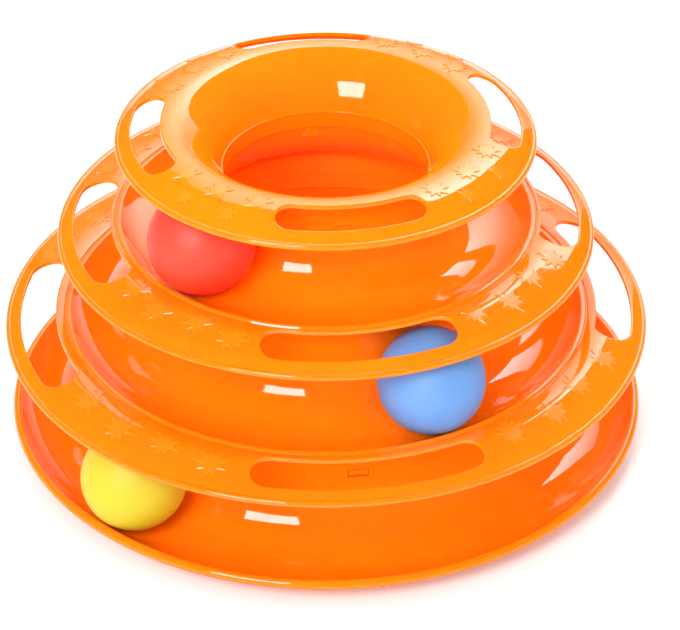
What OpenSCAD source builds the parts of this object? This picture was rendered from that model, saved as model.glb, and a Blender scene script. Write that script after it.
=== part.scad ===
// Cat ball track toy: a tray and three rings snapped into a tower, with a ball running in each track.
// Millimetres, +Z up. The origin is on the tower's axis, on the floor that its pads stand on.

/* [Balls] */
// Diameter of a ball
ball_d = 40; // [34:0.5:46]
// Wall of a hollow ball
ball_wall = 2; // [1:0.1:4]
// Side play of a ball in its track
ball_play = 1.1; // [0.6:0.1:3]
// Running gap under a ball
ball_lift = 0.25; // [0.1:0.05:0.3]
// Where the yellow ball lies, in degrees round from the front
yellow_turn = -43; // [-180:1:180]
// Where the blue ball lies, in degrees round from the front
blue_turn = 27; // [-180:1:180]
// Where the red ball lies, in degrees round from the front
red_turn = -46; // [-180:1:180]

/* [Tower] */
// Radius of the base track's centre line
base_track_r = 105.4; // [95:0.1:120]
// How much smaller each track is than the one below
tier_step = 21; // [18:0.1:24]
// Wall of the mouldings
wall = 1.5; // [1.2:0.1:2]
// Gap between the base ball and the lower ring above it
lower_headroom = 5.8; // [3:0.1:10]
// Gap between the lower ball and the upper ring above it
upper_headroom = 3.8; // [3:0.1:10]
// Gap between the upper ball and the top ring above it
top_headroom = 4.85; // [3:0.05:10]

/* [Flanges] */
// Height of a track's lip above its floor
lip_h = 5.9; // [4:0.1:9]
// Rounding of a track's lip
lip_round = 0.9; // [0.5:0.1:1.2]
// Width of the low ridge along a lip
ridge_w = 2; // [1.2:0.1:3]
// Height of the ridge above the flange
ridge_h = 0.35; // [0.2:0.05:0.8]
// Width of the groove beside the ridge
groove_w = 0.9; // [0.4:0.1:1.4]
// Depth of the groove beside the ridge
groove_d = 0.35; // [0.2:0.05:0.6]
// Width of the lower ring's flange, from lip to rim
lower_flange_w = 25.9; // [21:0.1:30.9]
// Width of the upper ring's flange, from lip to rim
upper_flange_w = 24.6; // [20:0.1:32]
// Width of the top ring's flange, from crest to rim
top_flange_w = 19.2; // [15:0.1:24]
// Width of the falling part of the lower and upper flanges
dome_w = 14; // [11:0.1:17]
// Drop of the lower ring's rim below its flange
lower_rim_drop = 5; // [3.5:0.1:7]
// Drop of the upper ring's rim below its flange
upper_rim_drop = 6.3; // [4:0.1:8]
// Drop of the top ring's rim below its crest
top_rim_drop = 7.3; // [5:0.1:9]
// Radius of the rolled rim
bead_r = 1.3; // [1.05:0.05:1.7]
// Radius of the tray's rolled rim
tray_bead_r = 1.9; // [1.5:0.05:2.4]
// How far the tray's rim lies inside the lower ring's rim
tray_rim_inset = 0.55; // [0:0.05:3]

/* [Slots] */
// Number of slots in each flange
slot_count = 4; // [2:1:5]
// Turn of the first slot from the front, in degrees
slot_turn = 8; // [0:1:45]
// Turn from a slot's middle to the centre of its round end, in degrees
slot_half_turn = 18.6; // [8:0.1:22]
// Flange left between the lower ring's lip and its slots
lower_crest_band = 6.2; // [4:0.1:8]
// Flange left between the upper ring's lip and its slots
upper_crest_band = 4.1; // [3.6:0.1:7]
// Flange left between the top ring's crest and its slots
top_crest_band = 1.9; // [1:0.1:4]
// Flange left between the slots and the rim
rim_band = 6; // [4:0.1:8]

/* [Funnel] */
// Width of the funnel, from the neck's bore to the crest
funnel_w = 20.75; // [19:0.05:24]
// Rounding of the top ring's crest
crest_round = 13.7; // [10:0.1:17]
// Slope at which the crest's rounding passes into the funnel, in degrees
funnel_slope = 31.6; // [22:0.1:40]
// Depth of the funnel from its crest to its neck
funnel_depth = 20; // [16:0.1:24]
// Height of the straight neck
neck_h = 6.9; // [6:0.1:9]

/* [Snap fits] */
// Wall of the skirts and of the neck
skirt_wall = 1.25; // [1:0.05:1.6]
// Radial clearance between a skirt and the wall round it
skirt_gap = 0.2; // [0.1:0.05:0.3]
// Gap left where a ring seats on the wall below it
seat_gap = 0.05; // [0.02:0.01:0.2]
// How far a skirt reaches below its track's floor
skirt_drop = 20.9; // [17:0.1:24]
// How far below its track's floor a skirt grows thinner
shoulder_drop = 14; // [11:0.1:16]
// Width of the shoulder where a skirt grows thinner
shoulder_w = 0.4; // [0.2:0.05:0.8]
// Width of the skirts' snap tabs
tab_w = 7.3; // [5:0.1:10]
// Height of the skirts' snap tabs
tab_h = 3; // [2:0.1:4]
// Height of the skirts' tabs above the skirt's lower edge
tab_rise = 3.3; // [2:0.1:5]
// Width of the neck's snap tabs
neck_tab_w = 5.3; // [4:0.1:7]
// Height of the neck's snap tabs
neck_tab_h = 2.8; // [2:0.1:3.2]
// Height of the neck's tabs above the neck's lower edge
neck_tab_rise = 2.4; // [1.8:0.1:2.8]
// Clearance round a tab in its window
tab_gap = 0.3; // [0.15:0.05:0.5]
// Turn of the upper ring's snap fits from the middles of the slots, in degrees
upper_snap_turn = 45; // [0:1:60]

/* [Pads] */
// Number of non-slip pads
pad_count = 4; // [3:1:6]
// Turn of the first pad from the front, in degrees
pad_turn = 45; // [0:1:90]
// Radius of a pad
pad_r = 5.5; // [4:0.1:7]
// Thickness of a pad
pad_h = 1.2; // [0.8:0.1:2.5]
// Rim of the seat that shows round a pad
seat_rim = 1; // [0.5:0.1:2]
// Height of a pad's seat below the tray's track
seat_h = 0.8; // [0.5:0.1:2]

/* [Hidden] */
$fn = 180;
// Turn between the points of a round stretch of an outline, in degrees
arc_step = 5;
// Overrun of every cut
cut = 1;
degrees_per_radian = 180 / PI;

ball_r = ball_d / 2;
// Radius of a track's hollow and of its underside
hollow_r = ball_r + ball_play;
under_r = hollow_r + wall;

lower_track_r = base_track_r - tier_step;
upper_track_r = lower_track_r - tier_step;
// Distance between a ball's centre and its track's floor
ball_rise = ball_lift + ball_r;
base_floor = pad_h + seat_h + wall;
lower_floor = floor_above(base_floor, lower_headroom);
upper_floor = floor_above(lower_floor, upper_headroom);

neck_out = upper_track_r - under_r - skirt_gap;
neck_in = neck_out - skirt_wall;
crest_r = neck_in + funnel_w;
crest_z = upper_floor + ball_rise + ball_r + top_headroom + wall;
neck_top = crest_z - funnel_depth;
neck_bottom = neck_top - neck_h;

// The funnel's long arc is tangent to the crest's arc at funnel_slope and ends on the neck
slope_in = [sin(funnel_slope), -cos(funnel_slope)];
crest_centre = [crest_r, crest_z - crest_round];
funnel_start = crest_centre - crest_round * slope_in;
funnel_run = [neck_in, neck_top] - funnel_start;
funnel_round = funnel_run * funnel_run / (2 * slope_in * funnel_run);
funnel_centre = funnel_start + funnel_round * slope_in;
neck_top_angle = atan2(neck_top - funnel_centre[1], neck_in - funnel_centre[0]);
neck_under_angle = acos((neck_out - funnel_centre[0]) / (funnel_round - wall));

lower_skirt_bottom = lower_floor - skirt_drop;
upper_skirt_bottom = upper_floor - skirt_drop;
base_wall_top = wall_top_under(lower_floor);
lower_wall_top = wall_top_under(upper_floor);
upper_wall_top = funnel_seat_z(upper_track_r - under_r);
upper_wall_top_out = funnel_seat_z(upper_track_r - hollow_r);

lower_lip_r = lip_r(lower_track_r);
upper_lip_r = lip_r(upper_track_r);
lower_rim_r = lower_lip_r + lower_flange_w;
upper_rim_r = upper_lip_r + upper_flange_w;
top_rim_r = crest_r + top_flange_w;
// How far round from its floor the tray's track rises, in degrees, for its rim to lie under the lower ring's
tray_lip_turn = asin((lower_rim_r - tray_rim_inset - tray_bead_r - base_track_r) / (hollow_r + tray_bead_r));

// Points along an arc about c, from turn a to turn b, without the last point where open is true
function arc(c, r, a, b, open = false) =
    let (n = max(2, ceil(abs(b - a) / arc_step)))
    [for (i = [0:open ? n - 1 : n]) let (t = a + (b - a) * i / n) c + r * [cos(t), sin(t)]];

// Height of the floor of the track above one whose floor is at z
function floor_above(z, headroom) =
    z + ball_rise + sqrt(pow(ball_r + headroom + under_r, 2) - pow(tier_step, 2)) - hollow_r;

// Top of the inner wall that the track with its floor at z seats on
function wall_top_under(z) =
    let (near = max(tier_step - under_r, min(tier_step - hollow_r, 0)))
    z + hollow_r - sqrt(pow(under_r, 2) - pow(near, 2)) - seat_gap;

// Top of a wall that stands seat_gap clear of the funnel's underside at radius r
function funnel_seat_z(r) =
    let (rise = sqrt(pow(funnel_round - wall, 2) - pow(r - funnel_centre[0], 2)))
    funnel_centre[1] + rise - seat_gap * (funnel_round - wall) / rise;

// Centre of a lip's rounding, from the centre of the track's hollow
function lip_offset() =
    let (dz = lip_h + ridge_h - lip_round - hollow_r)
    [sqrt(pow(hollow_r + lip_round, 2) - pow(dz, 2)), dz];

// Radius at which a track's hollow would cut the flange's top
function lip_r(track_r) = track_r + sqrt(pow(hollow_r, 2) - pow(hollow_r - lip_h, 2));

// Turn at which a track's underside passes radius r
function under_angle(track_r, r) = -acos((r - track_r) / under_r);

// Outline of a flange that starts level at start, falls in one arc and ends in a rolled rim,
// then comes back along its underside
function flange(start, rim_r, drop) =
    let (dx = rim_r - bead_r - start[0])
    let (dz = drop - wall / 2)
    let (mid_r = (dx * dx + dz * dz) / (2 * dz))
    let (centre = [start[0], start[1] - wall / 2 - mid_r])
    let (fall = atan2(dx, mid_r - dz))
    let (bite = asin(wall / 2 / bead_r))
    let (bead_turn = bead_r * cos(bite) / mid_r * degrees_per_radian)
    let (rim_centre = [rim_r - bead_r, start[1] - drop])
    let (back = 180 - fall)
    concat(
        arc(centre, mid_r + wall / 2, 90, 90 - fall + bead_turn, true),
        arc(rim_centre, bead_r, back - bite, back + bite - 360, true),
        arc(centre, mid_r - wall / 2, 90 - fall + bead_turn, 90));

// Outline of a skirt under a track, from its outer foot to its inner top
function skirt(track_r, floor_z) =
    let (outer = track_r + tier_step - under_r - skirt_gap)
    let (inner = outer - skirt_wall)
    [[outer, floor_z - skirt_drop], [inner, floor_z - skirt_drop],
     [inner, floor_z - shoulder_drop - shoulder_w], [inner - shoulder_w, floor_z - shoulder_drop]];

// Outline of a ring: inner wall, track, lip, ridge, flange, rolled rim, underside and skirt.
// The inner wall's top runs from wall_top inside to wall_top_out outside.
module ring_section(track_r, floor_z, wall_top, wall_top_out, rim_r, rim_drop) {
    centre = [track_r, floor_z + hollow_r];
    crest = floor_z + lip_h;
    lip_at = lip_offset();
    lip_turn = atan2(lip_at[1], lip_at[0]);
    ridge_end = lip_r(track_r) + ridge_w;
    flange_under = -asin((hollow_r - lip_h + wall) / under_r);
    skirt_out = track_r + tier_step - under_r - skirt_gap;
    skirt_in = skirt_out - skirt_wall - shoulder_w;
    polygon(concat(
        [[track_r - under_r, wall_top], [track_r - hollow_r, wall_top_out]],
        arc(centre, hollow_r, -180, lip_turn),
        arc(centre + lip_at, lip_round, lip_turn + 180, 90),
        [[ridge_end, crest + ridge_h],
         [ridge_end + groove_w / 2, crest - groove_d],
         [ridge_end + groove_w, crest]],
        flange([rim_r - dome_w, crest], rim_r, rim_drop),
        arc(centre, under_r, flange_under, under_angle(track_r, skirt_out)),
        skirt(track_r, floor_z),
        arc(centre, under_r, under_angle(track_r, skirt_in), -180)));
}

// Round-ended slots through a flange, from radius inner to radius outer
module slots(inner, outer, z_low, z_high) {
    mid = (inner + outer) / 2;
    width = outer - inner;
    for (i = [0:slot_count - 1])
        rotate(slot_turn - 90 + i * 360 / slot_count) {
            rotate(-slot_half_turn)
                rotate_extrude(angle = 2 * slot_half_turn)
                    translate([inner, z_low]) square([width, z_high - z_low]);
            for (side = [-1, 1])
                rotate(side * slot_half_turn)
                    translate([mid, 0, z_low]) cylinder(d = width, h = z_high - z_low);
        }
}

// A block of width w that bends with the wall, at each snap fit, turned from a 2D outline.
// The snap fits lie at the middles of the slots, or away from them by shift degrees.
module at_snaps(r, w, shift) {
    turn = w / r * degrees_per_radian;
    for (i = [0:slot_count - 1])
        rotate(slot_turn + shift - 90 + i * 360 / slot_count - turn / 2)
            rotate_extrude(angle = turn) children();
}

// Windows in an inner wall with its inner face at wall_in, for tabs with their foot at z
module snap_windows(wall_in, z, w, h, shift = 0) {
    at_snaps(wall_in + wall, w + 2 * tab_gap, shift)
        translate([wall_in - cut, z - tab_gap]) square([wall + 2 * cut, h + 2 * tab_gap]);
}

// Tabs on a skirt with its outer face at r, flush with the wall's far face, bevelled to snap in
module snap_tabs(r, z, w, h, shift = 0) {
    reach = skirt_gap + wall;
    at_snaps(r + reach, w, shift)
        polygon([[r - skirt_wall / 2, z], [r + reach / 2, z], [r + reach, z + reach / 2],
                 [r + reach, z + h], [r - skirt_wall / 2, z + h]]);
}

module base_tray() {
    centre = [base_track_r, base_floor + hollow_r];
    lip_turn = tray_lip_turn - 90;
    bead_centre = centre + (hollow_r + tray_bead_r) * [cos(lip_turn), sin(lip_turn)];
    bite = asin((tray_bead_r - wall) / tray_bead_r);
    bead_turn = tray_bead_r * cos(bite) / under_r * degrees_per_radian;
    color("orange")
    difference() {
        union() {
            rotate_extrude()
                polygon(concat(
                    [[base_track_r - under_r, base_wall_top], [base_track_r - hollow_r, base_wall_top]],
                    arc(centre, hollow_r, -180, lip_turn, true),
                    arc(bead_centre, tray_bead_r, lip_turn + 180, lip_turn - 90 - bite, true),
                    arc(centre, under_r, lip_turn - bead_turn, -180)));
            for (i = [0:pad_count - 1])
                at_pad(i) translate([0, 0, pad_h])
                    cylinder(r = pad_r + seat_rim, h = seat_h + wall * 2 / 3);
        }
        snap_windows(base_track_r - under_r, lower_skirt_bottom + tab_rise, tab_w, tab_h);
    }
}

module lower_ring() {
    color("orange") {
        difference() {
            rotate_extrude()
                ring_section(lower_track_r, lower_floor, lower_wall_top, lower_wall_top,
                    lower_rim_r, lower_rim_drop);
            slots(lower_lip_r + lower_crest_band, lower_rim_r - rim_band,
                lower_floor, lower_floor + lip_h + cut);
            snap_windows(lower_track_r - under_r, upper_skirt_bottom + tab_rise, tab_w, tab_h,
                upper_snap_turn);
        }
        snap_tabs(base_track_r - under_r - skirt_gap, lower_skirt_bottom + tab_rise, tab_w, tab_h);
    }
}

module upper_ring() {
    color("orange") {
        difference() {
            rotate_extrude()
                ring_section(upper_track_r, upper_floor, upper_wall_top, upper_wall_top_out,
                    upper_rim_r, upper_rim_drop);
            slots(upper_lip_r + upper_crest_band, upper_rim_r - rim_band,
                upper_floor, upper_floor + lip_h + cut);
            snap_windows(upper_track_r - under_r, neck_bottom + neck_tab_rise, neck_tab_w, neck_tab_h);
        }
        snap_tabs(lower_track_r - under_r - skirt_gap, upper_skirt_bottom + tab_rise, tab_w, tab_h,
            upper_snap_turn);
    }
}

module top_ring() {
    color("orange") {
        difference() {
            rotate_extrude()
                polygon(concat(
                    [[neck_in, neck_bottom]],
                    arc(funnel_centre, funnel_round, neck_top_angle, 90 + funnel_slope, true),
                    arc(crest_centre, crest_round, 90 + funnel_slope, 90, true),
                    flange([crest_r, crest_z], top_rim_r, top_rim_drop),
                    arc(crest_centre, crest_round - wall, 90, 90 + funnel_slope, true),
                    arc(funnel_centre, funnel_round - wall, 90 + funnel_slope, neck_under_angle),
                    [[neck_out, neck_bottom]]));
            slots(crest_r + top_crest_band, top_rim_r - rim_band,
                crest_z - top_rim_drop, crest_z + cut);
        }
        snap_tabs(neck_out, neck_bottom + neck_tab_rise, neck_tab_w, neck_tab_h);
    }
}

// A hollow ball resting in the track of radius track_r
module ball(track_r, floor_z, turn) {
    rotate(turn - 90) translate([track_r, 0, floor_z + ball_rise])
        difference() {
            sphere(ball_r);
            sphere(ball_r - ball_wall);
        }
}

module yellow_ball() color("yellow") ball(base_track_r, base_floor, yellow_turn);
module blue_ball() color("lightskyblue") ball(lower_track_r, lower_floor, blue_turn);
module red_ball() color("tomato") ball(upper_track_r, upper_floor, red_turn);

// Places its children under the base track at pad number i
module at_pad(i) rotate(pad_turn - 90 + i * 360 / pad_count) translate([base_track_r, 0, 0]) children();

module pad(i) color("dimgray") at_pad(i) cylinder(r = pad_r, h = pad_h);

base_tray();
lower_ring();
upper_ring();
top_ring();
yellow_ball();
blue_ball();
red_ball();
for (i = [0:pad_count - 1])
    pad(i);
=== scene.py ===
"""Looks of a cat ball track toy: gloss orange mouldings and satin balls in a plain white studio."""
import math

import bmesh
import bpy
import numpy as np
from mathutils import Matrix, Vector


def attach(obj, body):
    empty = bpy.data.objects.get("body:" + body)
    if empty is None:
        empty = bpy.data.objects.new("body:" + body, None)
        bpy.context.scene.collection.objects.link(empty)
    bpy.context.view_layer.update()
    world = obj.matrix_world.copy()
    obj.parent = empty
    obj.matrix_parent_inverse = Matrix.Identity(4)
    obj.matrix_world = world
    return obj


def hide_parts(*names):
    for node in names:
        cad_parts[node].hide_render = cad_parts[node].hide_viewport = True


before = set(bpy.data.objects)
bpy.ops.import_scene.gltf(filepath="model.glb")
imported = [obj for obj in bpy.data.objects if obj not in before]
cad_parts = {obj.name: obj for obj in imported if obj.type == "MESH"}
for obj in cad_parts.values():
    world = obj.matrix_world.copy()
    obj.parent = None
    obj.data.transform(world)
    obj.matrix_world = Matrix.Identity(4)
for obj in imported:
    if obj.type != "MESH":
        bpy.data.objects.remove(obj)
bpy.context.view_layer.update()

MM = 0.001

# The balls and their tracks, in millimetres, as in the solids
BALL_R = 20.0
BALL_LIFT = 0.25
HOLLOW_GAP = 1.1
HOLLOW_R = BALL_R + HOLLOW_GAP
WALL = 1.5
UNDER_R = HOLLOW_R + WALL
TIER_STEP = 21.0
BASE_TRACK_R = 105.4
LOWER_TRACK_R = BASE_TRACK_R - TIER_STEP
UPPER_TRACK_R = LOWER_TRACK_R - TIER_STEP
BASE_FLOOR = 3.5
BASE_HEADROOM = 5.8
LOWER_HEADROOM = 3.8
UPPER_HEADROOM = 4.85

# The lip between a track and its flange: a round lip, a ridge and a groove
LIP_H = 5.9
LIP_ROUND = 0.9
RIDGE_W = 2.0
RIDGE_H = 0.35
RIDGE_EDGE = 0.3
RIDGE_SHOULDER = (0.1, 0.8)
GROOVE_W = 0.9
GROOVE_D = 0.35
GROOVE_FLOOR = (0.35, 0.65)

# The flanges: crown, bend, slope, the knee before the rim, and the rolled rim
CROWN_ROUND = 25.0
BEND_ROUND = 9.0
BEND_TURN = 16.0
KNEE_W = 7.0
BEAD_R = 1.3
LOWER_FLANGE = {"w": 25.9, "drop": 5.0, "crown_w": 6.0, "crest_band": 6.2}
UPPER_FLANGE = {"w": 24.6, "drop": 6.3, "crown_w": 4.5, "crest_band": 4.1}
TOP_FLANGE = {"w": 19.2, "drop": 7.3, "crest_band": 1.9}
TRAY_BEAD_R = 1.9
TRAY_RIM_INSET = 0.55

# The slots, with turns in degrees from the front
SLOT_COUNT = 4
SLOT_TURN = 8.0
SLOT_HALF_TURN = 18.6
RIM_BAND = 6.0
EDGE_ROUND = 0.45

# The funnel and its neck
CREST_ROUND = 13.7
FUNNEL_SLOPE = 31.6
FUNNEL_DEPTH = 20.0
FUNNEL_W = 20.75
NECK_H = 6.9
NECK_BEAD_R = 0.4
NECK_BEAD_TURN = 190

# The skirts, which snap into the walls below them
SKIRT_WALL = 1.25
SKIRT_GAP = 0.2
SKIRT_DROP = 20.9
SHOULDER_DROP = 14.0
SHOULDER_W = 0.4
SEAT_GAP = 0.05
END_BEVEL = 0.3
TAB = {"w": 7.3, "h": 3.0, "rise": 3.3}
TONGUE = {"w": 5.6, "drop": 4.3, "rise": 5.5}
TAB_ROOT = 0.4
TAB_GAP = 0.3
UPPER_SNAP_TURN = 45.0

# The pads and their seats
PAD_TURNS = (45, 135, 225, 315)
PAD_H = 1.2
SEAT_R = 6.5
SEAT_TOP = 3.0
SEAT_EDGE = 0.3
SEAT_CHAMFER = 0.09

# Raised bursts on the flanges, as turns from the middle between two slots: radius, turns, size
BURSTS = {
    "top_ring": ((63.8, (-15, 0, 15), 6.0), (72.0, (-7.7, 7.7), 4.2)),
    "upper_ring": ((88.2, (-15.5, 5.3), 6.8), (91.0, (-5.3, 15.5), 6.8)),
    "lower_ring": ((110.5, (-15.5, 5.0), 7.4), (113.0, (-5.0, 15.5), 7.4)),
}
BURST_TIPS = (1.0, 0.84, 0.95, 0.78, 1.0, 0.86, 0.92, 0.8, 0.96)
BURST_NOTCH = 0.5
BURST_TWIST = 17
GAP_TWIST = 29
BURST_H = 0.32
# The burst's top, shoulder and foot: shares of the way from its middle to its outline, and heights
BURST_LEVELS = ((0.25, BURST_H), (0.5, BURST_H), (0.7, BURST_H), (0.86, BURST_H),
                (0.88, BURST_H * 0.93), (1, -0.1))

# The fineness of the meshes: degrees for each step of an arc, and counts of steps
UNDER_STEP = 4
HOLLOW_STEP = 3
FUNNEL_STEP = 2
LIP_STEP = 10
BEAD_STEP = 12
NECK_BEAD_STEP = 20
WALL_STEP = 1.2
SLOT_END_STEP = 6
SLOT_STEPS = 24
GAP_STEPS = 40
UNDER_STEPS = 6
CREST_STEPS = 14
RIM_STEPS = 12
TAB_STEPS = 6
SEAT_STEPS = 48
TRAY_STEPS = 300
TRAY_CLEARANCE = 0.3
NEAR_END = (0.1, 0.22, 0.4, 0.8, 1.5)
NEAR_EDGE = (0, 0.03, 0.1, 0.22, 0.42, 0.9)
TINY = 0.001
WELD = 2e-6
SHARP_TURN = 34


def floor_above(z, headroom):
    """Height of the floor of the track above one whose floor is at z."""
    reach = BALL_R + headroom + UNDER_R
    return z + BALL_LIFT + BALL_R + math.sqrt(reach ** 2 - TIER_STEP ** 2) - HOLLOW_R


LOWER_FLOOR = floor_above(BASE_FLOOR, BASE_HEADROOM)
UPPER_FLOOR = floor_above(LOWER_FLOOR, LOWER_HEADROOM)
CREST_Z = UPPER_FLOOR + BALL_LIFT + 2 * BALL_R + UPPER_HEADROOM + WALL
NECK_OUT = UPPER_TRACK_R - UNDER_R - SKIRT_GAP
NECK_IN = NECK_OUT - SKIRT_WALL
NECK_TOP = CREST_Z - FUNNEL_DEPTH
NECK_BOTTOM = NECK_TOP - NECK_H
CREST_R = NECK_IN + FUNNEL_W

# The windows in the walls, which the tabs of the moulding above fill
WINDOW_IN_BASE = dict(TAB, r=BASE_TRACK_R - UNDER_R, z=LOWER_FLOOR - SKIRT_DROP + TAB["rise"],
                      turn=SLOT_TURN)
WINDOW_IN_LOWER = dict(TAB, r=LOWER_TRACK_R - UNDER_R, z=UPPER_FLOOR - SKIRT_DROP + TAB["rise"],
                       turn=SLOT_TURN + UPPER_SNAP_TURN)
WINDOW_IN_UPPER = dict(w=TONGUE["w"], h=TONGUE["drop"] + TONGUE["rise"], r=UPPER_TRACK_R - UNDER_R,
                       z=NECK_BOTTOM - TONGUE["drop"], turn=SLOT_TURN)


def polar(centre, radius, turn):
    """The point at a turn in degrees round a centre in the (radius, height) plane."""
    a = math.radians(turn)
    return (centre[0] + radius * math.cos(a), centre[1] + radius * math.sin(a))


def arc(centre, radius, start, end, step):
    """Points along an arc, from turn start to turn end in degrees."""
    count = max(2, math.ceil(abs(end - start) / step))
    return [polar(centre, radius, start + (end - start) * i / count) for i in range(count + 1)]


def spread(start, end, count):
    """Evenly spaced values from start to end."""
    return [start + (end - start) * i / count for i in range(count + 1)]


def to_point(r, turn, z):
    """A point of the tower, from its radius, its turn round from the front in degrees and its height."""
    a = math.radians(turn)
    return Vector((r * math.sin(a), -r * math.cos(a), z)) * MM


def lip_radius(track_r):
    """The radius at which a track's hollow reaches the height of its lip."""
    return track_r + math.sqrt(HOLLOW_R ** 2 - (HOLLOW_R - LIP_H) ** 2)


def seat_under(floor_z):
    """Top of the inner wall that the track with its floor at floor_z seats on."""
    near = max(TIER_STEP - UNDER_R, min(TIER_STEP - HOLLOW_R, 0))
    return floor_z + HOLLOW_R - math.sqrt(UNDER_R ** 2 - near ** 2) - SEAT_GAP


class Flange:
    """A flange that rises to a low crown, bends down to a slope, turns over and ends in a rolled rim."""

    def __init__(self, start, rim_r, drop, crown_w=0, bend_turn=0, knee_w=None):
        bend = math.radians(bend_turn)
        top = start[1] + CROWN_ROUND - math.sqrt(CROWN_ROUND ** 2 - crown_w ** 2)
        bend_drop = BEND_ROUND * (1 - math.cos(bend))
        self.start_r = start[0]
        self.crown = (start[0] + crown_w, top - WALL / 2)
        self.bend = math.sin(bend)
        self.slope = math.tan(bend)
        self.bend_end = (self.crown[0] + BEND_ROUND * self.bend, self.crown[1] - bend_drop)
        self.knee_r = rim_r - knee_w if knee_w else start[0]
        knee_z = self.bend_end[1] - (self.knee_r - self.bend_end[0]) * self.slope
        self.bead = (rim_r - BEAD_R, start[1] - drop)
        run = self.bead[0] - self.knee_r
        fall_h = knee_z - self.bead[1]
        self.mid = (run * run + fall_h * fall_h) / (2 * (fall_h * math.cos(bend) - run * self.bend))
        self.centre = (self.knee_r - self.mid * self.bend, knee_z - self.mid * math.cos(bend))
        out, up = self.bead[0] - self.centre[0], self.bead[1] - self.centre[1]
        self.fall = math.degrees(math.atan2(out, up))
        self.bite = math.degrees(math.asin(WALL / 2 / BEAD_R))
        self.bead_turn = math.degrees(BEAD_R * math.cos(math.radians(self.bite)) / self.mid)
        end_turn = 90 - self.fall + self.bead_turn
        self.top_end = polar(self.centre, self.mid + WALL / 2, end_turn)
        self.under_end = polar(self.centre, self.mid - WALL / 2, end_turn)

    def height(self, r, side):
        """Height of the top (side 1) or the underside (side -1) at radius r."""
        r = max(float(r), self.start_r)
        off = side * WALL / 2
        if r > self.knee_r + off * self.bend:
            radius = self.mid + off
            return self.centre[1] + math.sqrt(radius ** 2 - (r - self.centre[0]) ** 2)
        beyond = r - self.crown[0]
        if beyond > (BEND_ROUND + off) * self.bend:
            rise = off * math.sqrt(1 + self.slope ** 2)
            return self.bend_end[1] + rise - (r - self.bend_end[0]) * self.slope
        middle = CROWN_ROUND if beyond < 0 else BEND_ROUND
        return self.crown[1] - middle + math.sqrt((middle + off) ** 2 - beyond ** 2)

    def bead_outline(self):
        """Points round the rolled rim, from the flange's top to its underside."""
        back = 180 - self.fall + self.bead_turn / 2
        return arc(self.bead, BEAD_R, back - self.bite, back + self.bite - 360, BEAD_STEP)


class Ring:
    """One moulding: its fixed outline, its flange and its slots, all in millimetres."""

    def __init__(self, name, outline, top_start, under_start, flange, slot, window, tab):
        self.name = name
        self.outline = outline
        self.top_start = top_start
        self.under_start = under_start
        self.flange = flange
        self.slot = slot
        self.window = window
        self.tab = tab


def window_levels(window):
    """The heights of a window's lower and upper edge."""
    return window["z"] - TAB_GAP, window["z"] + window["h"] + TAB_GAP


def wall_face(centre, radius, top, window):
    """Points up one face of an inner wall, round below the hollow's centre, and its starting turn."""
    marks = [centre[1], top]
    if window:
        marks += window_levels(window)
    start = min(marks)
    marks += [start + WALL_STEP * i for i in range(1, math.ceil((centre[1] - start) / WALL_STEP))]
    points = []
    for z in sorted(marks):
        below = min(z - centre[1], 0)
        points.append((centre[0] - math.sqrt(radius ** 2 - below ** 2), z))
    return points, -180 + math.degrees(math.asin((centre[1] - start) / radius))


def bevelled_end(outside, inside, z):
    """Points round the lower end of a skirt or neck."""
    outer_edge = [(outside, z + END_BEVEL), (outside - END_BEVEL, z)]
    return outer_edge + [(inside + END_BEVEL, z), (inside, z + END_BEVEL)]


def ridge_outline(end, crest):
    """Points over the end of a ridge and through the groove to the flange."""
    back, share = RIDGE_SHOULDER
    groove = [(end + GROOVE_W * across, crest - GROOVE_D) for across in GROOVE_FLOOR]
    ridge = [(end - RIDGE_EDGE, crest + RIDGE_H), (end - back, crest + RIDGE_H * share)]
    return ridge + groove + [(end + GROOVE_W, crest)]


def track_ring(name, track_r, floor_z, wall_tops, sizes, window, tab):
    """The lower or the upper ring, from its inner wall's top inside and outside and its flange's sizes."""
    centre = (track_r, floor_z + HOLLOW_R)
    crest = floor_z + LIP_H
    rise = LIP_H + RIDGE_H - LIP_ROUND - HOLLOW_R
    reach = math.sqrt((HOLLOW_R + LIP_ROUND) ** 2 - rise ** 2)
    lip_turn = math.degrees(math.atan2(rise, reach))
    lip_centre = (centre[0] + reach, centre[1] + rise)
    lip_r = lip_radius(track_r)
    ridge_end = lip_r + RIDGE_W
    rim_r = lip_r + sizes["w"]
    skirt_out = track_r + TIER_STEP - UNDER_R - SKIRT_GAP
    skirt_in = skirt_out - SKIRT_WALL
    shoulder_z = floor_z - SHOULDER_DROP
    under_join = -math.degrees(math.asin((HOLLOW_R - LIP_H + WALL) / UNDER_R))

    def under_turn(r):
        return -math.degrees(math.acos((r - track_r) / UNDER_R))

    outline = arc(centre, UNDER_R, under_join, under_turn(skirt_out), UNDER_STEP)
    outline += bevelled_end(skirt_out, skirt_in, floor_z - SKIRT_DROP)
    outline += [(skirt_in, shoulder_z - SHOULDER_W), (skirt_in - SHOULDER_W, shoulder_z)]
    inner_face, inner_turn = wall_face(centre, UNDER_R, wall_tops[0], window)
    outer_face, outer_turn = wall_face(centre, HOLLOW_R, wall_tops[1], window)
    outline += arc(centre, UNDER_R, under_turn(skirt_in - SHOULDER_W), inner_turn, UNDER_STEP)[:-1]
    outline += inner_face + outer_face[::-1]
    outline += arc(centre, HOLLOW_R, outer_turn, lip_turn, HOLLOW_STEP)[1:]
    outline += arc(lip_centre, LIP_ROUND, lip_turn + 180, 90, LIP_STEP)[1:]
    outline += ridge_outline(ridge_end, crest)
    start = (ridge_end + GROOVE_W, crest)
    flange = Flange(start, rim_r, sizes["drop"], sizes["crown_w"], BEND_TURN, KNEE_W)
    slot = (lip_r + sizes["crest_band"], rim_r - RIM_BAND)
    return Ring(name, outline, start, polar(centre, UNDER_R, under_join), flange, slot, window, tab)


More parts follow.
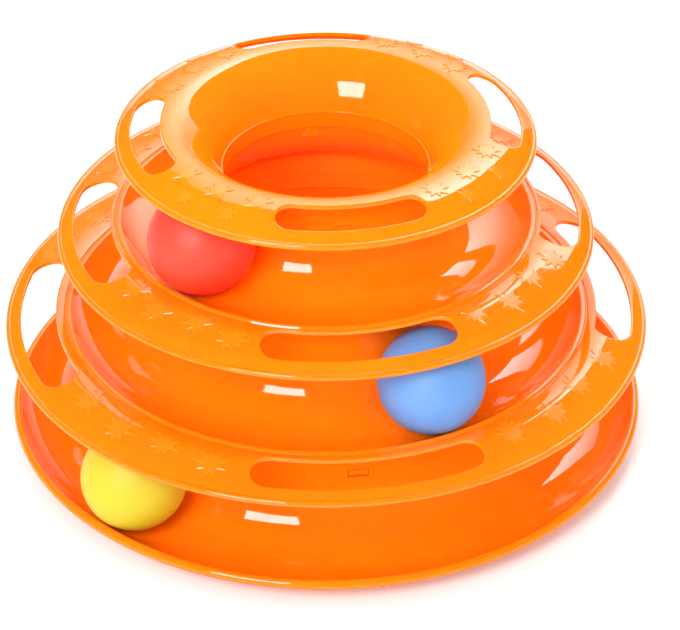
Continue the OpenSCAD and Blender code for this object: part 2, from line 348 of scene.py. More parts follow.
def top_ring(tab=None):
    """The ring with the funnel and a fine bead where the funnel meets the neck."""
    slope = math.radians(FUNNEL_SLOPE)
    inward = np.array([math.sin(slope), -math.cos(slope)])
    crest_centre = np.array([CREST_R, CREST_Z - CREST_ROUND])
    start = crest_centre - CREST_ROUND * inward
    run = np.array([NECK_IN, NECK_TOP]) - start
    funnel_r = run @ run / (2 * inward @ run)
    centre = start + funnel_r * inward
    neck_turn = math.degrees(math.atan2(NECK_TOP - centre[1], NECK_IN - centre[0]))
    under_turn = math.degrees(math.acos((NECK_OUT - centre[0]) / (funnel_r - WALL)))
    outline = arc(crest_centre, CREST_ROUND - WALL, 90, 90 + FUNNEL_SLOPE, UNDER_STEP)
    outline += arc(centre, funnel_r - WALL, 90 + FUNNEL_SLOPE, under_turn, UNDER_STEP)[1:]
    outline += bevelled_end(NECK_OUT, NECK_IN, NECK_BOTTOM)
    outline += arc((NECK_IN, NECK_TOP), NECK_BEAD_R, -90, -90 - NECK_BEAD_TURN, NECK_BEAD_STEP)
    outline += arc(centre, funnel_r, neck_turn, 90 + FUNNEL_SLOPE, FUNNEL_STEP)[1:]
    outline += arc(crest_centre, CREST_ROUND, 90 + FUNNEL_SLOPE, 90, HOLLOW_STEP)[1:]
    rim_r = CREST_R + TOP_FLANGE["w"]
    flange = Flange((CREST_R, CREST_Z), rim_r, TOP_FLANGE["drop"])
    slot = (CREST_R + TOP_FLANGE["crest_band"], rim_r - RIM_BAND)
    return Ring("top_ring", outline, (CREST_R, CREST_Z), (CREST_R, CREST_Z - WALL), flange, slot, None, tab)


def funnel_seat(r):
    """Top of the upper ring's inner wall at radius r, just under the funnel."""
    points = top_ring().outline
    for (r0, z0), (r1, z1) in zip(points, points[1:]):
        if r1 <= r <= r0:
            return z0 + (z1 - z0) * (r - r0) / (r1 - r0) - SEAT_GAP
    return NECK_TOP


def gap_seam(inner, outer):
    """The radius at which the mesh's two parts meet between the slots."""
    mid = (inner + outer) / 2
    return mid * math.cos(math.asin((outer - inner) / 2 / mid))


def slot_end(inner, outer):
    """Turns of a slot's round end from its middle, from the tip inwards, each with the slot's two edges."""
    mid = (inner + outer) / 2
    end_r = (outer - inner) / 2
    ends = []
    for phi in range(90, -1, -SLOT_END_STEP):
        d = math.asin(end_r / mid * math.sin(math.radians(phi)))
        half = end_r * math.cos(math.radians(phi))
        ends.append((SLOT_HALF_TURN + math.degrees(d), mid * math.cos(d) - half, mid * math.cos(d) + half))
    return ends


def gap_turns(start, end, mid):
    """Turns of the columns between two slots, denser beside the slots."""
    near = [math.degrees(d / mid) for d in NEAR_END]
    inside = [start + near[-1] + (end - start - 2 * near[-1]) * i / GAP_STEPS for i in range(1, GAP_STEPS)]
    return [start + d for d in near] + inside + [end - d for d in reversed(near)]


def slot_columns(inner, outer):
    """Turns of the mesh's columns, each with the slot's two edges and whether it is open after it."""
    ends = slot_end(inner, outer)
    tip = ends[0][0]
    seam = gap_seam(inner, outer)
    period = 360 / SLOT_COUNT
    columns = []
    for k in range(SLOT_COUNT):
        at = SLOT_TURN + k * period
        for offset, low, high in ends:
            columns.append((at - offset, low, high, True))
        for i in range(1, SLOT_STEPS):
            columns.append((at - SLOT_HALF_TURN + 2 * SLOT_HALF_TURN * i / SLOT_STEPS, inner, outer, True))
        for offset, low, high in reversed(ends):
            columns.append((at + offset, low, high, offset < tip))
        for turn in gap_turns(at + tip, at + period - tip, (inner + outer) / 2):
            columns.append((turn, seam, seam, False))
    return columns


def slot_distance(r, turn, slot):
    """Distance outside the nearest slot's outline, in millimetres."""
    inner, outer = slot
    mid = (inner + outer) / 2
    end_r = (outer - inner) / 2
    period = 360 / SLOT_COUNT
    off = abs((turn - SLOT_TURN + period / 2) % period - period / 2)
    if off <= SLOT_HALF_TURN:
        return abs(r - mid) - end_r
    a = math.radians(off - SLOT_HALF_TURN)
    return math.hypot(r * math.cos(a) - mid, r * math.sin(a)) - end_r


def edge_drop(distance):
    """How far a rounded edge lies below the surface, at a distance from the slot."""
    inside = max(EDGE_ROUND - max(distance, 0), 0)
    return EDGE_ROUND - math.sqrt(EDGE_ROUND ** 2 - inside ** 2)


def rounded(points, turn, slot):
    """Points of a flange's top, lowered where a slot's edge is rounded."""
    return [(r, z - edge_drop(slot_distance(r, turn, slot))) for r, z in points]


def window_turns(window):
    """The turns between which each window is open."""
    half = math.degrees((window["w"] / 2 + TAB_GAP) / (window["r"] + WALL))
    middles = [window["turn"] + k * 360 / SLOT_COUNT for k in range(SLOT_COUNT)]
    return [(middle - half, middle + half) for middle in middles]


def window_rows(outline, window):
    """The rows of a wall's two faces that lie between a window's lower and upper edge."""
    low, high = window_levels(window)
    rows = []
    for j, ((r0, z0), (r1, z1)) in enumerate(zip(outline, outline[1:])):
        on_wall = max(r0, r1) < window["r"] + 2 * WALL
        if on_wall and min(z0, z1) > low - TINY and max(z0, z1) < high + TINY:
            rows.append(j)
    return rows


def window_spots(turns, rows, window):
    """The cells of a mesh, as column and row, that are open at the windows."""
    spans = window_turns(window)
    spots = set()
    for i, turn in enumerate(turns):
        if any(low <= turn + TINY < high for low, high in spans):
            spots.update((i, row) for row in rows)
    return spots


def sheet_faces(bm, grid, skip):
    """Joins neighbouring columns of vertices with quads, all the way round, but for the cells to skip."""
    for i, column in enumerate(grid):
        after = grid[(i + 1) % len(grid)]
        for j in range(len(column) - 1):
            if (i, j) in skip:
                continue
            corners = []
            for v in (column[j], column[j + 1], after[j + 1], after[j]):
                if v not in corners:
                    corners.append(v)
            if len(corners) > 2:
                bm.faces.new(corners)


def close_slots(bm, grids, columns):
    """Adds the walls of the slots, between the top and the underside."""
    for i, (_, _, _, is_open) in enumerate(columns):
        if not is_open:
            continue
        for grid in grids:
            a, b = grid[i], grid[(i + 1) % len(columns)]
            bm.faces.new((a[-1], a[0], b[0], b[-1]))


def close_windows(bm, grid, rows, spots):
    """Adds the four reveals of each window between the wall's two faces."""
    half = len(rows) // 2
    inside = rows[:half] + [rows[half - 1] + 1]
    outside = rows[half:] + [rows[-1] + 1]
    for i in range(len(grid)):
        if (i, rows[0]) not in spots:
            continue
        n = (i + 1) % len(grid)
        a, b = grid[i], grid[n]
        bm.faces.new((a[inside[0]], a[outside[-1]], b[outside[-1]], b[inside[0]]))
        bm.faces.new((a[inside[-1]], a[outside[0]], b[outside[0]], b[inside[-1]]))
        if (i - 1, rows[0]) not in spots:
            bm.faces.new([a[j] for j in inside + outside])
        if (n, rows[0]) not in spots:
            bm.faces.new([b[j] for j in inside + outside])


def add_tabs(bm, tab):
    """Bevelled snap tabs on a skirt, flush with the wall outside it."""
    reach = SKIRT_GAP + WALL
    r, z, h = tab["r"], tab["z"], tab["h"]
    root = r - TAB_ROOT
    outline = [(root, z), (r + reach / 2, z), (r + reach, z + reach / 2), (r + reach, z + h), (root, z + h)]
    half = math.degrees(tab["w"] / 2 / (r + reach))
    for k in range(SLOT_COUNT):
        at = tab["turn"] + k * 360 / SLOT_COUNT
        turns = spread(at - half, at + half, TAB_STEPS)
        columns = [[bm.verts.new(to_point(pr, turn, pz)) for pr, pz in outline] for turn in turns]
        for a, b in zip(columns, columns[1:]):
            for j in range(len(outline)):
                n = (j + 1) % len(outline)
                bm.faces.new((a[j], a[n], b[n], b[j]))
        bm.faces.new(columns[0][::-1])
        bm.faces.new(columns[-1])


def finish_mesh(name, bm, body):
    """Makes an object of a mesh, smooth but for its sharp edges, and puts it on its body."""
    bmesh.ops.remove_doubles(bm, verts=bm.verts, dist=WELD)
    bmesh.ops.recalc_face_normals(bm, faces=bm.faces)
    limit = math.radians(SHARP_TURN)
    for edge in bm.edges:
        edge.smooth = not (len(edge.link_faces) == 2 and edge.calc_face_angle(0) > limit)
    for face in bm.faces:
        face.smooth = True
    mesh = bpy.data.meshes.new(name)
    bm.to_mesh(mesh)
    bm.free()
    piece = bpy.data.objects.new(name, mesh)
    bpy.context.scene.collection.objects.link(piece)
    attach(piece, body)
    return piece


def ring_columns(ring):
    """The columns of a ring's mesh, with one at each side of each window."""
    columns = slot_columns(*ring.slot)
    if ring.window:
        in_slot = ring.window["turn"] == SLOT_TURN
        edges = ring.slot if in_slot else (gap_seam(*ring.slot),) * 2
        for low, high in window_turns(ring.window):
            columns += [(low, *edges, in_slot), (high, *edges, in_slot)]
        columns.sort(key=lambda column: column[0])
    return columns


def inner_points(ring, turn, edge):
    """Points from a slot's inner edge along the underside, round the outline and back over the top."""
    height = ring.flange.height
    under = [(r, height(r, -1)) for r in spread(edge, ring.under_start[0], UNDER_STEPS)[:-1]]
    top = [(r, height(r, 1)) for r in spread(ring.top_start[0], edge - NEAR_EDGE[-1], CREST_STEPS)[1:]]
    top += [(edge - d, height(edge - d, 1)) for d in NEAR_EDGE[-2::-1]]
    return under + ring.outline + rounded(top, turn, ring.slot)


def outer_points(ring, turn, edge):
    """Points from a slot's outer edge over the top, round the rolled rim and back along the underside."""
    flange = ring.flange
    height = flange.height
    top = [(edge + d, height(edge + d, 1)) for d in NEAR_EDGE]
    top += [(r, height(r, 1)) for r in spread(edge + NEAR_EDGE[-1], flange.top_end[0], RIM_STEPS)[1:-1]]
    under = [(r, height(r, -1)) for r in spread(flange.under_end[0], edge, UNDER_STEPS)[1:]]
    return rounded(top, turn, ring.slot) + flange.bead_outline() + under


def build_ring(ring):
    """The mesh of a ring with its slots, windows and tabs."""
    bm = bmesh.new()
    columns = ring_columns(ring)
    inner_grid, outer_grid = [], []
    for turn, low, high, _ in columns:
        inner_grid.append([bm.verts.new(to_point(r, turn, z)) for r, z in inner_points(ring, turn, low)])
        outer_grid.append([bm.verts.new(to_point(r, turn, z)) for r, z in outer_points(ring, turn, high)])
    spots = set()
    if ring.window:
        rows = [row + UNDER_STEPS for row in window_rows(ring.outline, ring.window)]
        spots = window_spots([column[0] for column in columns], rows, ring.window)
    sheet_faces(bm, inner_grid, spots)
    sheet_faces(bm, outer_grid, set())
    close_slots(bm, (inner_grid, outer_grid), columns)
    if ring.window:
        close_windows(bm, inner_grid, rows, spots)
    add_tabs(bm, ring.tab)
    piece = finish_mesh(ring.name + "_moulding", bm, "tower")
    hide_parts(ring.name)
    return piece


def add_seat(bm, turn):
    """The low round seat of a pad, closed at its top inside the tray's wall."""
    middle = to_point(BASE_TRACK_R, turn, 0)
    profile = [(SEAT_R, SEAT_TOP), (SEAT_R, PAD_H + SEAT_EDGE),
               (SEAT_R - SEAT_CHAMFER, PAD_H + SEAT_CHAMFER), (SEAT_R - SEAT_EDGE, PAD_H)]
    turns = [2 * math.pi * i / SEAT_STEPS for i in range(SEAT_STEPS)]
    loops = []
    for r, z in profile:
        points = [middle + Vector((r * math.cos(a), r * math.sin(a), z)) * MM for a in turns]
        loops.append([bm.verts.new(point) for point in points])
    for a, b in zip(loops, loops[1:]):
        for i in range(SEAT_STEPS):
            n = (i + 1) % SEAT_STEPS
            bm.faces.new((a[i], a[n], b[n], b[i]))
    bm.faces.new(loops[0])
    bm.faces.new(loops[-1])


def tray_outline(window):
    """Points round the tray: the inner wall, the track, the rolled rim and the underside."""
    centre = (BASE_TRACK_R, BASE_FLOOR + HOLLOW_R)
    rim_r = lip_radius(LOWER_TRACK_R) + LOWER_FLANGE["w"] - TRAY_RIM_INSET
    bead_reach = HOLLOW_R + TRAY_BEAD_R
    lip_turn = math.degrees(math.asin((rim_r - TRAY_BEAD_R - BASE_TRACK_R) / bead_reach)) - 90
    bead = polar(centre, bead_reach, lip_turn)
    bite = math.degrees(math.asin((TRAY_BEAD_R - WALL) / TRAY_BEAD_R))
    bead_turn = math.degrees(TRAY_BEAD_R * math.cos(math.radians(bite)) / UNDER_R)
    top = seat_under(LOWER_FLOOR)
    inner_face, _ = wall_face(centre, UNDER_R, top, window)
    outer_face, outer_turn = wall_face(centre, HOLLOW_R, top, window)
    outline = inner_face + outer_face[::-1]
    outline += arc(centre, HOLLOW_R, outer_turn, lip_turn, HOLLOW_STEP)[1:]
    outline += arc(bead, TRAY_BEAD_R, lip_turn + 180, lip_turn - 90 - bite, LIP_STEP)[1:-1]
    return outline + arc(centre, UNDER_R, lip_turn - bead_turn, -180, UNDER_STEP)


def tray_turns(window):
    """Turns of the tray's columns, with one at each side of each window and none close beside it."""

    def apart(a, b):
        return abs((a - b + 180) % 360 - 180)

    turns = [SLOT_TURN - 180 / SLOT_COUNT + 360 * i / TRAY_STEPS for i in range(TRAY_STEPS)]
    for low, high in window_turns(window):
        turns = [turn for turn in turns if min(apart(turn, low), apart(turn, high)) >= TRAY_CLEARANCE]
        turns += [low, high]
    return sorted(turns)


def build_tray(window):
    """The mesh of the base tray, with its windows and its pads' seats."""
    outline = tray_outline(window)
    turns = tray_turns(window)
    bm = bmesh.new()
    grid = [[bm.verts.new(to_point(r, turn, z)) for r, z in outline[:-1]] for turn in turns]
    for column in grid:
        column.append(column[0])
    rows = window_rows(outline, window)
    spots = window_spots(turns, rows, window)
    sheet_faces(bm, grid, spots)
    close_windows(bm, grid, rows, spots)
    for turn in PAD_TURNS:
        add_seat(bm, turn)
    piece = finish_mesh("base_tray_moulding", bm, "tower")
    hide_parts("base_tray")
    return piece


def burst_outline(size, twist):
    """Outline of a burst with uneven thin tips, as across and outward steps from its middle."""
    count = len(BURST_TIPS)
    corners = []
    for i, tip in enumerate(BURST_TIPS):
        for turn, reach in ((i, tip), (i + 0.5, BURST_NOTCH)):
            a = math.radians(twist + 360 * turn / count)
            corners.append((size * reach * math.cos(a), size * reach * math.sin(a)))
    points = []
    for a, b in zip(corners, corners[1:] + corners[:1]):
        points += [(a[0] + (b[0] - a[0]) * t, a[1] + (b[1] - a[1]) * t) for t in (0, 1 / 3, 2 / 3)]
    return points


def add_burst(bm, flange, r, turn, size, twist):
    """A raised burst that follows the flange's top, with a bevelled edge that ends just under it."""
    outline = burst_outline(size, twist)

    def place(across, out, rise):
        at = r + out
        return bm.verts.new(to_point(at, turn + math.degrees(across / at), flange.height(at, 1) + rise))

    middle = place(0, 0, BURST_H)
    loops = [[place(x * share, y * share, rise) for x, y in outline] for share, rise in BURST_LEVELS]
    for i in range(len(outline)):
        n = (i + 1) % len(outline)
        bm.faces.new((middle, loops[0][i], loops[0][n]))
        for inner, outer in zip(loops, loops[1:]):
            bm.faces.new((inner[i], outer[i], outer[n], inner[n]))


def build_bursts(ring):
    """The raised bursts between the slots of a ring, on its flange."""
    bm = bmesh.new()
    period = 360 / SLOT_COUNT
    for r, turns, size in BURSTS[ring.name]:
        for k in range(SLOT_COUNT):
            for i, turn in enumerate(turns):
                at = SLOT_TURN + (k + 0.5) * period + turn
                add_burst(bm, ring.flange, r, at, size, BURST_TWIST * i + GAP_TWIST * k + r)
    return finish_mesh(ring.name + "_bursts", bm, "tower")


def tab_for(window):
    """The tab that fills a window, on the skirt inside it."""
    return dict(window, r=window["r"] - SKIRT_GAP)


lower_tops = [seat_under(UPPER_FLOOR)] * 2
upper_tops = [funnel_seat(UPPER_TRACK_R - r) for r in (UNDER_R, HOLLOW_R)]
rings = (
    track_ring("lower_ring", LOWER_TRACK_R, LOWER_FLOOR, lower_tops, LOWER_FLANGE,
               WINDOW_IN_LOWER, tab_for(WINDOW_IN_BASE)),
    track_ring("upper_ring", UPPER_TRACK_R, UPPER_FLOOR, upper_tops, UPPER_FLANGE,
               WINDOW_IN_UPPER, tab_for(WINDOW_IN_LOWER)),
    top_ring(tab_for(WINDOW_IN_UPPER)),
)
mouldings = [build_tray(WINDOW_IN_BASE)] + [build_ring(ring) for ring in rings]
bursts = [build_bursts(ring) for ring in rings]

# The orange plastic: its shades, the light it lets through, and haze as a range of added roughness
ORANGE_DEEP = (1.0, 0.18, 0.002)
ORANGE_LIGHT = (1.0, 0.21, 0.003)
GLOSS_ROUGHNESS = 0.04
GLOW = 0.6
GLOW_REACH = (0.0015, 0.0004, 0.0001)
MOULDING_HAZE = (0, 0.02)
RELIEF_HAZE = (0.12, 0.18)
# Its marks: noises as features per metre and detail, rubs as features round and across the tracks
SHADE_NOISE = (14, 3)
HAZE_NOISE = (60, 4)
RIPPLE_NOISE = (120, 1)
RIPPLE_DEPTH = 0.000005
RUB_SCALES = (9, 2600)
RUB_RANGE = (0.45, 0.75)
RUB_ROUGHNESS = (0.02, 0.07)
RUB_DEPTH = 0.0000006
# The balls: each one's darker and lighter shade, and their satin surface
BALL_SHADES = {
    "yellow_ball": ((0.52, 0.43, 0.008), (0.56, 0.47, 0.014)),
    "blue_ball": ((0.09, 0.235, 0.54), (0.112, 0.265, 0.58)),
    "red_ball": ((0.72, 0.033, 0.01), (0.78, 0.041, 0.014)),
}
BALL_SHADE_NOISE = (70, 4)
BALL_ROUGHNESS = 0.5
BALL_SATIN = (0.46, 0.58)
BALL_SATIN_NOISE = (240, 3)
BALL_GRAIN = (1500, 3)
BALL_GRAIN_DEPTH = 0.00002
# The pads' rubber
RUBBER_DARK = (0.012, 0.012, 0.013)
RUBBER_DUST = (0.045, 0.043, 0.041)
RUBBER_ROUGHNESS = 0.85
RUBBER_DUST_NOISE = (900, 5)
RUBBER_GRAIN = (1800, 4)
RUBBER_GRAIN_DEPTH = 0.00006
# The stretch of a noise's values that a finish spreads out, since few lie beyond it
NOISE_LOW = 0.3
NOISE_HIGH = 0.7


class Finish:
    """A node material under construction: a principled shader and the procedural nodes that feed it."""

    def __init__(self, name, roughness):
        self.material = bpy.data.materials.new(name)
        self.material.use_nodes = True
        self.tree = self.material.node_tree
        self.shader = self.tree.nodes["Principled BSDF"]
        self.shader.inputs["Roughness"].default_value = roughness
        self.place = self.node("ShaderNodeTexCoord").outputs["Object"]

    def node(self, kind, **settings):
        made = self.tree.nodes.new(kind)
        for key, value in settings.items():
            setattr(made, key, value)
        return made

    def feed(self, source, socket):
        self.tree.links.new(source, socket)

    def noise(self, scale, detail=2.0, vector=None):
        """Fractal noise from 0 to 1, with scale in features per metre."""
        made = self.node("ShaderNodeTexNoise")
        made.inputs["Scale"].default_value = scale
        made.inputs["Detail"].default_value = detail
        self.feed(vector or self.place, made.inputs["Vector"])
        return made.outputs["Fac"]

    def spread(self, value, low, high, start=NOISE_LOW, end=NOISE_HIGH):
        """Maps a value from start..end to low..high."""
        made = self.node("ShaderNodeMapRange")
        made.inputs["From Min"].default_value = start
        made.inputs["From Max"].default_value = end
        made.inputs["To Min"].default_value = low
        made.inputs["To Max"].default_value = high
        self.feed(value, made.inputs["Value"])
        return made.outputs["Result"]

    def tint(self, value, low, high):
        """Colours the surface between two shades by a noise's value."""
        ramp = self.node("ShaderNodeValToRGB")
        ends = ramp.color_ramp.elements
        ends[0].position, ends[1].position = NOISE_LOW, NOISE_HIGH
        ends[0].color, ends[1].color = (*low, 1), (*high, 1)
        self.feed(value, ramp.inputs["Fac"])
        self.feed(ramp.outputs["Color"], self.shader.inputs["Base Color"])

    def add(self, a, b):
        made = self.node("ShaderNodeMath", operation="ADD")
        self.feed(a, made.inputs[0])
        self.feed(b, made.inputs[1])
        return made.outputs[0]

    def bump(self, height, depth, under=None):
        """Raises the surface by height times depth, in metres, on top of another bump."""
        made = self.node("ShaderNodeBump")
        made.inputs["Strength"].default_value = 1
        made.inputs["Distance"].default_value = depth
        self.feed(height, made.inputs["Height"])
        if under:
            self.feed(under, made.inputs["Normal"])
        self.feed(made.outputs["Normal"], self.shader.inputs["Normal"])
        return made.outputs["Normal"]


def round_the_tower(finish, around, across):
    """Coordinates that run round the tower's axis, for marks that lie along the tracks."""
    parts = finish.node("ShaderNodeSeparateXYZ")
    finish.feed(finish.place, parts.inputs[0])
    flat = finish.node("ShaderNodeCombineXYZ")
    finish.feed(parts.outputs["X"], flat.inputs["X"])
    finish.feed(parts.outputs["Y"], flat.inputs["Y"])
    length = finish.node("ShaderNodeVectorMath", operation="LENGTH")
    finish.feed(flat.outputs[0], length.inputs[0])
    turned = finish.node("ShaderNodeVectorMath", operation="NORMALIZE")
    finish.feed(flat.outputs[0], turned.inputs[0])
    scaled = finish.node("ShaderNodeVectorMath", operation="SCALE")
    scaled.inputs["Scale"].default_value = around
    finish.feed(turned.outputs[0], scaled.inputs[0])
    depth = finish.add(length.outputs["Value"], parts.outputs["Z"])
    deep = finish.node("ShaderNodeMath", operation="MULTIPLY")
    deep.inputs[1].default_value = across
    finish.feed(depth, deep.inputs[0])
    ends = finish.node("ShaderNodeSeparateXYZ")
    finish.feed(scaled.outputs[0], ends.inputs[0])
    joined = finish.node("ShaderNodeCombineXYZ")
    finish.feed(ends.outputs["X"], joined.inputs["X"])
    finish.feed(ends.outputs["Y"], joined.inputs["Y"])
    finish.feed(deep.outputs[0], joined.inputs["Z"])
    return joined.outputs[0]


def orange_plastic(name, glow, haze):
    """Gloss moulded plastic: flow-line shading, a faint ripple, and hairline rub marks along the tracks."""
    finish = Finish(name, GLOSS_ROUGHNESS)
    finish.shader.inputs["Subsurface Weight"].default_value = glow
    finish.shader.inputs["Subsurface Radius"].default_value = GLOW_REACH
    finish.shader.inputs["Subsurface Scale"].default_value = 1
    finish.tint(finish.noise(*SHADE_NOISE), ORANGE_DEEP, ORANGE_LIGHT)
    rubs = finish.noise(1, vector=round_the_tower(finish, *RUB_SCALES))
    rubbed = finish.spread(rubs, *RUB_ROUGHNESS, *RUB_RANGE)
    dull = finish.add(rubbed, finish.spread(finish.noise(*HAZE_NOISE), *haze))
    finish.feed(dull, finish.shader.inputs["Roughness"])
    ripple = finish.bump(finish.noise(*RIPPLE_NOISE), RIPPLE_DEPTH)
    finish.bump(rubs, RUB_DEPTH, ripple)
    return finish.material


def ball_plastic(name, low, high):
    """Satin plastic with a fine grain and a faint mottle."""
    finish = Finish(name, BALL_ROUGHNESS)
    finish.tint(finish.noise(*BALL_SHADE_NOISE), low, high)
    satin = finish.spread(finish.noise(*BALL_SATIN_NOISE), *BALL_SATIN)
    finish.feed(satin, finish.shader.inputs["Roughness"])
    finish.bump(finish.noise(*BALL_GRAIN), BALL_GRAIN_DEPTH)
    return finish.material


def pad_rubber():
    """Dull dark rubber with a fine grain and dust in its dips."""
    finish = Finish("pad_rubber_finish", RUBBER_ROUGHNESS)
    finish.tint(finish.noise(*RUBBER_DUST_NOISE), RUBBER_DARK, RUBBER_DUST)
    finish.bump(finish.noise(*RUBBER_GRAIN), RUBBER_GRAIN_DEPTH)
    return finish.material


orange = orange_plastic("orange_plastic_finish", GLOW, MOULDING_HAZE)
for piece in mouldings:
    piece.data.materials.append(orange)
# The thin reliefs carry no glow of their own and are duller
relief = orange_plastic("orange_relief_finish", 0, RELIEF_HAZE)
for piece in bursts:
    piece.data.materials.append(relief)
rubber = pad_rubber()
carried = {name: ball_plastic(name + "_finish", *shades) for name, shades in BALL_SHADES.items()}
carried.update({f"pad_{i}": rubber for i in range(1, len(PAD_TURNS) + 1)})
for node, material in carried.items():
    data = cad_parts[node].data
    data.materials.clear()
    data.materials.append(material)

# The camera, as fitted to the photograph, in metres and degrees
CAMERA_AT = Vector((0, -0.88585, 0.64760))
CAMERA_PITCH = 34.26
CAMERA_YAW = 0.29
CAMERA_ROLL = -0.18
CAMERA_LENS = 144.5
CAMERA_SENSOR = 36
CAMERA_NEAR = 0.01

# The studio, in metres, degrees and watts
LIT_POINT = Vector((0, 0, 0.07))
FLOOR_HALF = 3.0
FLOOR_COLOUR = (0.8, 0.8, 0.8)
FLOOR_ROUGHNESS = 0.7
FLOOR_NOISE = (3, 2)
FLOOR_LIFT = 0.06
ROOM_LOW = 1.5
ROOM_TOP = 0.5
ROOM_GLOSS = 0.06
ROOM_FALL = 3
SOFTBOX_TURN = -27.5
SOFTBOX_HEIGHT = 37.5
SOFTBOX_AWAY = 1.6
SOFTBOX_SIZE = (0.62, 0.62)
SOFTBOX_LEVEL = 16
SOFTBOX_ROLL = 6
SPOT_AIM = Vector((0, 0.01, 0.105))
SPOT_TURN = 10
SPOT_HEIGHT = 40
SPOT_AWAY = 1.5
SPOT_R = 0.045
SPOT_SOFT = 0.08
SPOT_POWER = 110
INNER_AT = Vector((0, 0, 0.02))
INNER_SIZE = 0.05
INNER_COLOUR = (1.0, 0.12, 0.0)
INNER_POWER = 0.1
BACK_TURN = 176
BACK_AWAY = 1.5
BACK_SIZE = (1.6, 2.5)
BACK_LEVEL = 13
BACK_ACROSS = (1.0, 0.15)
BACK_UP = (0.03, 1.0)


def add_camera():
    """The camera, turned by its pitch, then its yaw, then its roll."""
    pitch, yaw, roll = (math.radians(v) for v in (CAMERA_PITCH, CAMERA_YAW, CAMERA_ROLL))
    forward = Vector((0, math.cos(pitch), -math.sin(pitch)))
    up = Vector((0, math.sin(pitch), math.cos(pitch)))
    right = Vector((1, 0, 0))
    turned = forward * math.cos(yaw) + right * math.sin(yaw)
    right = right * math.cos(yaw) - forward * math.sin(yaw)
    rolled_right = right * math.cos(roll) + up * math.sin(roll)
    rolled_up = up * math.cos(roll) - right * math.sin(roll)
    data = bpy.data.cameras.new("camera")
    data.lens = CAMERA_LENS
    data.sensor_width = CAMERA_SENSOR
    data.clip_start = CAMERA_NEAR
    camera = bpy.data.objects.new("camera", data)
    bpy.context.scene.collection.objects.link(camera)
    basis = Matrix((rolled_right, rolled_up, -turned)).transposed()
    camera.matrix_world = Matrix.Translation(CAMERA_AT) @ basis.to_4x4()
    bpy.context.scene.camera = camera


def towards(turn, height):
    """The direction at a turn from the front and a height above the horizon, in degrees."""
    turn, height = math.radians(turn), math.radians(height)
    return Vector((math.sin(turn) * math.cos(height), -math.cos(turn) * math.cos(height), math.sin(height)))


def add_lamp(name, at, aim, size, radiance, roll=0):
    """A soft box at a place, aimed at a point, that the camera doesn't see."""
    data = bpy.data.lights.new(name, "AREA")
    data.shape = "RECTANGLE"
    data.size, data.size_y = size
    data.energy = radiance * math.pi * size[0] * size[1]
    lamp = bpy.data.objects.new(name, data)
    basis = (Vector(at) - Vector(aim)).to_track_quat("Z", "Y").to_matrix().to_4x4()
    lamp.matrix_world = Matrix.Translation(at) @ basis @ Matrix.Rotation(math.radians(roll), 4, "Z")
    lamp.visible_camera = False
    bpy.context.scene.collection.objects.link(lamp)
    return data


def hide_lamp(lamp):
    """Lets a lamp light surfaces without being seen, itself or as a reflection."""
    lamp.visible_glossy = False
    lamp.visible_camera = False
    bpy.context.scene.collection.objects.link(lamp)


def add_bore_spot():
    """A narrow spot down the funnel's bore, for its depth."""
    data = bpy.data.lights.new("bore_spot", "SPOT")
    data.energy = SPOT_POWER
    data.spot_size = 2 * math.atan(SPOT_R / SPOT_AWAY)
    data.spot_blend = 1
    data.shadow_soft_size = SPOT_SOFT
    lamp = bpy.data.objects.new("bore_spot", data)
    direction = towards(SPOT_TURN, SPOT_HEIGHT)
    turned = direction.to_track_quat("Z", "Y").to_matrix().to_4x4()
    lamp.matrix_world = Matrix.Translation(SPOT_AIM + direction * SPOT_AWAY) @ turned
    hide_lamp(lamp)


def add_inner_glow():
    """A dim lamp low in the tower's hollow, turned up, for the light that its walls let through."""
    data = bpy.data.lights.new("inner_glow", "AREA")
    data.shape = "DISK"
    data.size = INNER_SIZE
    data.energy = INNER_POWER
    data.color = INNER_COLOUR
    lamp = bpy.data.objects.new("inner_glow", data)
    lamp.location = INNER_AT
    lamp.rotation_euler = (math.pi, 0, 0)
    hide_lamp(lamp)


def shade_lamp(data, across, up):
    """Makes a lamp fall off over its face: its strength at the low and high edge of each direction."""
    data.use_nodes = True
    tree = data.node_tree
    emission = next(n for n in tree.nodes if n.type == "EMISSION")
    place = tree.nodes.new("ShaderNodeNewGeometry").outputs["Parametric"]
    parts = tree.nodes.new("ShaderNodeSeparateXYZ")
    tree.links.new(place, parts.inputs[0])
    total = tree.nodes.new("ShaderNodeMath")
    total.operation = "MULTIPLY"
    for side, (axis, ends) in enumerate((("X", across), ("Y", up))):
        scale = tree.nodes.new("ShaderNodeMapRange")
        scale.interpolation_type = "SMOOTHSTEP"
        scale.inputs["To Min"].default_value, scale.inputs["To Max"].default_value = ends
        tree.links.new(parts.outputs[axis], scale.inputs["Value"])
        tree.links.new(scale.outputs["Result"], total.inputs[side])
    tree.links.new(total.outputs[0], emission.inputs["Strength"])


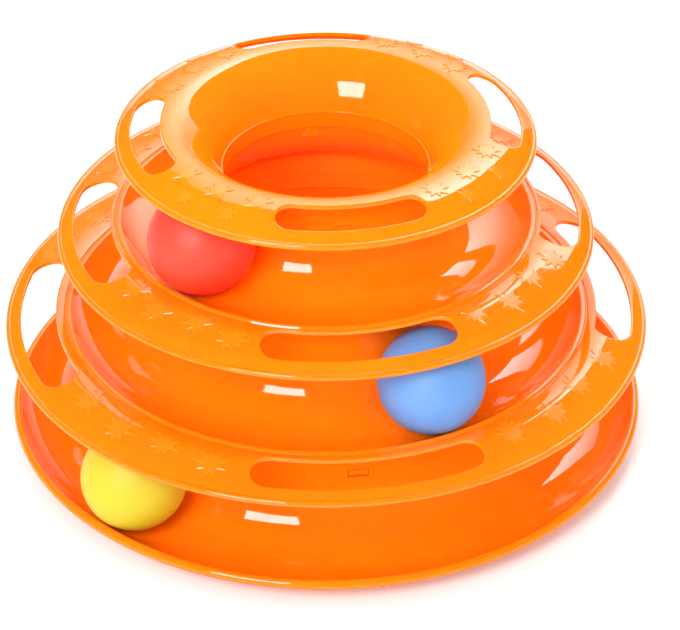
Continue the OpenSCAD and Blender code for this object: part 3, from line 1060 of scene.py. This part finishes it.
def studio_floor():
    """A wide white floor that shows white to the camera and keeps the tower's shadow."""
    bm = bmesh.new()
    bmesh.ops.create_grid(bm, x_segments=1, y_segments=1, size=FLOOR_HALF)
    mesh = bpy.data.meshes.new("studio_floor")
    bm.to_mesh(mesh)
    bm.free()
    floor = bpy.data.objects.new("studio_floor", mesh)
    bpy.context.scene.collection.objects.link(floor)
    finish = Finish("studio_floor_finish", FLOOR_ROUGHNESS)
    finish.tint(finish.noise(*FLOOR_NOISE), FLOOR_COLOUR, FLOOR_COLOUR)
    finish.shader.inputs["Specular IOR Level"].default_value = 0
    finish.shader.inputs["Emission Color"].default_value = (1, 1, 1, 1)
    seen = finish.node("ShaderNodeLightPath").outputs["Is Camera Ray"]
    lift = finish.node("ShaderNodeMath", operation="MULTIPLY")
    lift.inputs[1].default_value = FLOOR_LIFT
    finish.feed(seen, lift.inputs[0])
    finish.feed(lift.outputs[0], finish.shader.inputs["Emission Strength"])
    mesh.materials.append(finish.material)


def studio_world():
    """Light from all round, dimmer from above, and plain white where the camera sees past the floor."""
    world = bpy.data.worlds.new("studio")
    bpy.context.scene.world = world
    world.use_nodes = True
    tree = world.node_tree
    background = tree.nodes["Background"]
    background.inputs["Color"].default_value = (1, 1, 1, 1)

    def between(low, high, share):
        mix = tree.nodes.new("ShaderNodeMapRange")
        for socket, value in (("To Min", low), ("To Max", high)):
            if isinstance(value, float):
                mix.inputs[socket].default_value = value
            else:
                tree.links.new(value, mix.inputs[socket])
        tree.links.new(share, mix.inputs["Value"])
        return mix.outputs["Result"]

    parts = tree.nodes.new("ShaderNodeSeparateXYZ")
    tree.links.new(tree.nodes.new("ShaderNodeTexCoord").outputs["Generated"], parts.inputs[0])
    overhead = tree.nodes.new("ShaderNodeMath")
    overhead.operation = "POWER"
    overhead.inputs[1].default_value = ROOM_FALL
    tree.links.new(between(0.0, 1.0, parts.outputs["Z"]), overhead.inputs[0])
    rays = tree.nodes.new("ShaderNodeLightPath")
    level = between(ROOM_LOW, ROOM_TOP, overhead.outputs[0])
    level = between(level, ROOM_GLOSS, rays.outputs["Is Glossy Ray"])
    level = between(level, 1.0, rays.outputs["Is Camera Ray"])
    tree.links.new(level, background.inputs["Strength"])


def add_studio():
    """The floor, the room's light, the soft box, the two inner lamps and the wide window behind."""
    studio_floor()
    studio_world()
    softbox_at = LIT_POINT + towards(SOFTBOX_TURN, SOFTBOX_HEIGHT) * SOFTBOX_AWAY
    add_lamp("softbox", softbox_at, LIT_POINT, SOFTBOX_SIZE, SOFTBOX_LEVEL, SOFTBOX_ROLL)
    add_bore_spot()
    add_inner_glow()
    back = towards(BACK_TURN, 0) * BACK_AWAY + Vector((0, 0, BACK_SIZE[1] / 2))
    window = add_lamp("back_window", back, Vector((0, 0, back.z)), BACK_SIZE, BACK_LEVEL)
    shade_lamp(window, BACK_ACROSS, BACK_UP)


add_camera()
add_studio()
bpy.context.scene.view_settings.view_transform = "Standard"
